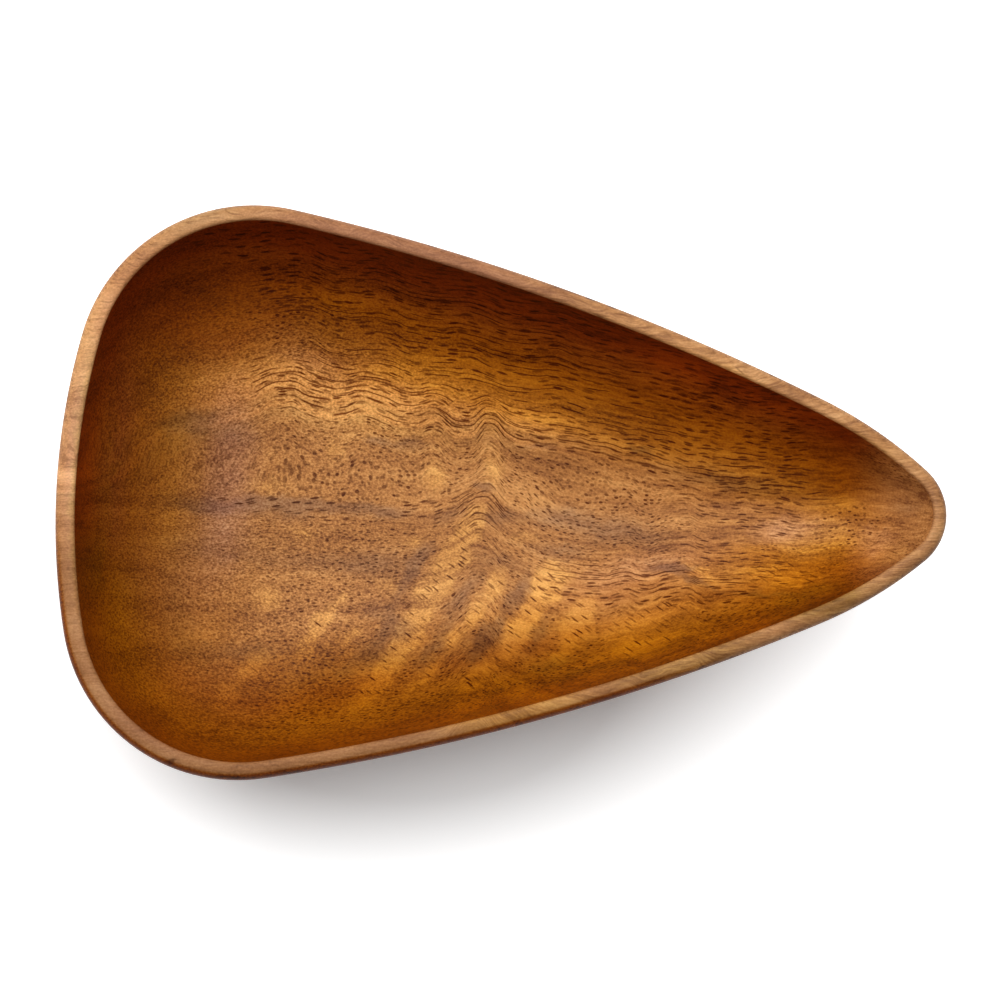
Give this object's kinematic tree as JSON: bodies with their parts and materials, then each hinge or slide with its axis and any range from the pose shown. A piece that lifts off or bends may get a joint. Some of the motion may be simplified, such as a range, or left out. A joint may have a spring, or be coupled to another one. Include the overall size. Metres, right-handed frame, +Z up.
{
  "type": "trinket dish",
  "caption": "Shallow dish carved from one block of wood: a rounded triangle in plan, with flared walls, a rounded rim and a flat foot.",
  "frame": {"origin": "on the table plane, under the middle of the dish's bounding box", "axes": "+X along the dish towards its narrow tip, +Y across it, +Z up"},
  "size_m": [0.2, 0.1304, 0.044],
  "materials": {
    "oiled_hardwood": "satin oil over sanded figured hardwood"
  },
  "bodies": {
    "root": {"dish": "oiled_hardwood"}
  },
  "joints": []
}
